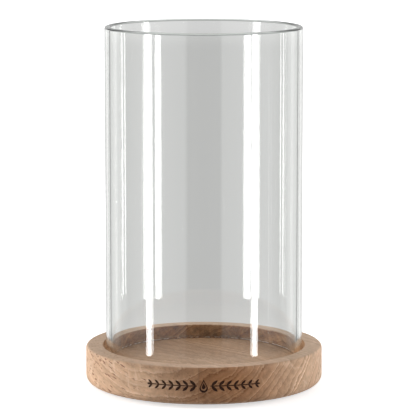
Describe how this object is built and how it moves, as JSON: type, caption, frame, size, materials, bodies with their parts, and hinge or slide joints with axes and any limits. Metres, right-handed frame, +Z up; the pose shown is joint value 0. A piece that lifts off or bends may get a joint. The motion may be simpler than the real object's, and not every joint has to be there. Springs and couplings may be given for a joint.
{
  "type": "hurricane candle holder",
  "caption": "Table hurricane candle holder: an open clear glass cylinder that stands in the turned recess of a round solid oak base with felt foot pads.",
  "frame": {"origin": "middle of the footprint, on the surface that the felt pads stand on", "axes": "+Z up along the glass cylinder's axis, -Y towards the front with the burned ornament, +X to the right seen from the front"},
  "size_m": [0.1204, 0.1204, 0.183],
  "materials": {
    "oak": "oiled, with open grain",
    "clear_glass": "clear, smooth, fire-polished rims",
    "grey_felt": "pressed felt"
  },
  "bodies": {
    "stand": {"base": "oak", "foot_pad_1": "grey_felt", "foot_pad_2": "grey_felt", "foot_pad_3": "grey_felt", "foot_pad_4": "grey_felt"},
    "glass": {"glass_cylinder": "clear_glass"}
  },
  "joints": [
    {"name": "glass_lift", "type": "slide", "parent": "stand", "child": "glass", "axis": [0, 0, 1], "range_m": [0, 0.18]}
  ]
}
